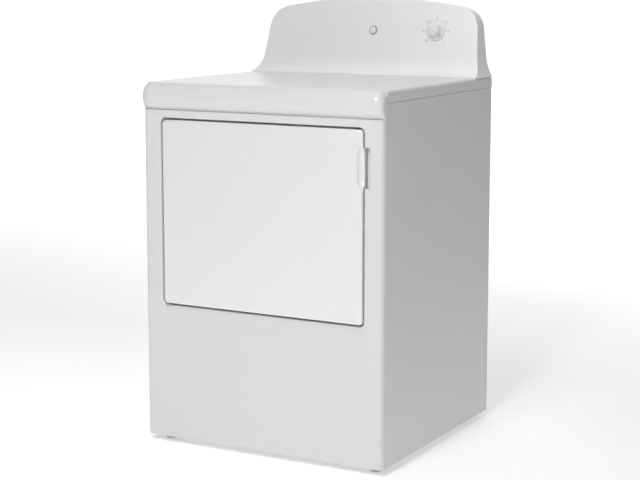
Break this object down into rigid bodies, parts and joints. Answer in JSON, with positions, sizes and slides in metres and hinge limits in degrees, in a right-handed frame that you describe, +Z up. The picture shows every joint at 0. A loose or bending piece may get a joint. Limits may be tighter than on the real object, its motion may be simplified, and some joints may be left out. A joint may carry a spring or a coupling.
{
  "type": "clothes dryer",
  "caption": "Free-standing front-loading clothes dryer with a side-swing door, raised sloping console with a timer knob, and a belt-driven drum.",
  "frame": {"origin": "centre of the overall footprint, on the plane the feet stand on", "axes": "+Z up, +X to the right of a person facing the door, +Y from the door to the back"},
  "size_m": [0.686, 0.688, 1.142],
  "materials": {
    "cabinet_enamel": "semi-gloss white baked enamel",
    "door_enamel": "semi-gloss white baked enamel",
    "liner_enamel": "semi-gloss off-white enamel",
    "console_enamel": "satin white paint",
    "galvanised_steel": "matte spangled zinc",
    "aluminised_steel": "dull aluminised sheet",
    "bright_steel": "plated steel",
    "heating_wire": "oxidised resistance wire",
    "motor_steel": "satin dark paint",
    "white_plastic": "moulded white plastic",
    "knob_plastic": "moulded gloss white plastic",
    "grey_plastic": "moulded grey plastic",
    "black_plastic": "moulded black plastic",
    "seal_felt": "pressed wool felt",
    "roller_rubber": "matte black rubber"
  },
  "bodies": {
    "cabinet": {"base_pan": "galvanised_steel", "left_side_panel": "cabinet_enamel", "right_side_panel": "cabinet_enamel", "rear_panel": "galvanised_steel", "top_panel": "cabinet_enamel", "front_panel": "cabinet_enamel", "front_bulkhead": "liner_enamel", "rear_bulkhead": "liner_enamel", "drum_front_seal": "seal_felt", "drum_rear_seal": "seal_felt", "left_drum_glide": "white_plastic", "right_drum_glide": "white_plastic", "left_roller_shaft": "bright_steel", "right_roller_shaft": "bright_steel", "drive_belt": "roller_rubber", "motor": "motor_steel", "motor_bracket": "galvanised_steel", "idler_spring": "bright_steel", "blower_housing": "grey_plastic", "lint_duct": "galvanised_steel", "exhaust_pipe": "aluminised_steel", "heater_housing": "aluminised_steel", "heater_element": "heating_wire", "high_limit_thermostat": "black_plastic", "cycling_thermostat": "black_plastic", "thermal_fuse": "white_plastic", "terminal_block": "black_plastic", "terminal_cover": "galvanised_steel", "console_fascia": "console_enamel", "console_back_cover": "galvanised_steel", "timer_body": "grey_plastic", "start_switch": "black_plastic", "upper_door_hinge": "bright_steel", "lower_door_hinge": "bright_steel", "door_catch": "white_plastic", "door_switch": "black_plastic"},
    "door": {"door_outer_panel": "door_enamel", "door_inner_panel": "liner_enamel", "door_seal": "seal_felt", "door_strike": "bright_steel"},
    "switch_plunger": {"door_switch_plunger": "white_plastic"},
    "tumbler": {"drum": "liner_enamel", "baffle_1": "white_plastic", "baffle_2": "white_plastic", "baffle_3": "white_plastic"},
    "motor_rotor": {"motor_shaft": "bright_steel", "motor_pulley": "bright_steel", "blower_wheel": "white_plastic"},
    "left_roller": {"left_drum_roller": "roller_rubber"},
    "right_roller": {"right_drum_roller": "roller_rubber"},
    "tension_arm": {"idler_arm": "galvanised_steel"},
    "tension_pulley": {"idler_pulley": "white_plastic"},
    "filter": {"lint_filter": "grey_plastic"},
    "timer_dial": {"timer_shaft": "bright_steel", "timer_knob": "knob_plastic"},
    "start_push_button": {"start_button": "knob_plastic"},
    "front_left_leg": {"front_left_foot": "grey_plastic"},
    "front_right_leg": {"front_right_foot": "grey_plastic"},
    "rear_left_leg": {"rear_left_foot": "grey_plastic"},
    "rear_right_leg": {"rear_right_foot": "grey_plastic"}
  },
  "joints": [
    {"name": "door_hinge", "type": "hinge", "parent": "cabinet", "child": "door", "pos_m": [-0.274, -0.326, 0.606], "axis": [0, 0, -1], "range_deg": [0, 110]},
    {"name": "door_switch_slide", "type": "slide", "parent": "cabinet", "child": "switch_plunger", "axis": [0, -1, 0], "range_m": [0, 0.0042]},
    {"name": "drum_spin", "type": "hinge", "parent": "cabinet", "child": "tumbler", "pos_m": [0, -0.014, 0.59], "axis": [0, 1, 0], "continuous": true},
    {"name": "motor_spin", "type": "hinge", "parent": "cabinet", "child": "motor_rotor", "pos_m": [-0.15, -0.124, 0.135], "axis": [0, 1, 0], "continuous": true},
    {"name": "left_roller_spin", "type": "hinge", "parent": "cabinet", "child": "left_roller", "pos_m": [-0.205, 0.197, 0.29724], "axis": [0, 1, 0], "continuous": true},
    {"name": "right_roller_spin", "type": "hinge", "parent": "cabinet", "child": "right_roller", "pos_m": [0.205, 0.197, 0.29724], "axis": [0, 1, 0], "continuous": true},
    {"name": "idler_arm_pivot", "type": "hinge", "parent": "cabinet", "child": "tension_arm", "pos_m": [-0.09, 0.011, 0.075], "axis": [0, 1, 0], "range_deg": [0, 10], "stiffness_Nm_per_rad": 2, "springref_deg": -34.38},
    {"name": "idler_pulley_spin", "type": "hinge", "parent": "tension_arm", "child": "tension_pulley", "pos_m": [-0.048, -0.001, 0.185], "axis": [0, 1, 0], "continuous": true},
    {"name": "lint_filter_slide", "type": "slide", "parent": "cabinet", "child": "filter", "axis": [0, 0, 1], "range_m": [0, 0.235]},
    {"name": "timer_turn", "type": "hinge", "parent": "cabinet", "child": "timer_dial", "pos_m": [0.199, 0.26165, 1.054], "axis": [0, -0.9714, 0.2376], "continuous": true},
    {"name": "start_button_push", "type": "slide", "parent": "cabinet", "child": "start_push_button", "axis": [0, 0.9714, -0.2376], "range_m": [0, 0.003], "stiffness_N_per_m": 300, "springref_m": -0.002},
    {"name": "front_left_leg_screw", "type": "slide", "parent": "cabinet", "child": "front_left_leg", "axis": [0, 0, 1], "range_m": [-0.014, 0.007]},
    {"name": "front_right_leg_screw", "type": "slide", "parent": "cabinet", "child": "front_right_leg", "axis": [0, 0, 1], "range_m": [-0.014, 0.007]},
    {"name": "rear_left_leg_screw", "type": "slide", "parent": "cabinet", "child": "rear_left_leg", "axis": [0, 0, 1], "range_m": [-0.014, 0.007]},
    {"name": "rear_right_leg_screw", "type": "slide", "parent": "cabinet", "child": "rear_right_leg", "axis": [0, 0, 1], "range_m": [-0.014, 0.007]}
  ],
  "couplings": [
    {"joint": "door_switch_slide", "follows": "door_hinge", "m_per_rad": 0.00208},
    {"joint": "motor_spin", "follows": "drum_spin", "ratio": 25.46},
    {"joint": "left_roller_spin", "follows": "drum_spin", "ratio": -8.395},
    {"joint": "right_roller_spin", "follows": "drum_spin", "ratio": -8.395},
    {"joint": "idler_pulley_spin", "follows": "drum_spin", "ratio": -10.15}
  ]
}
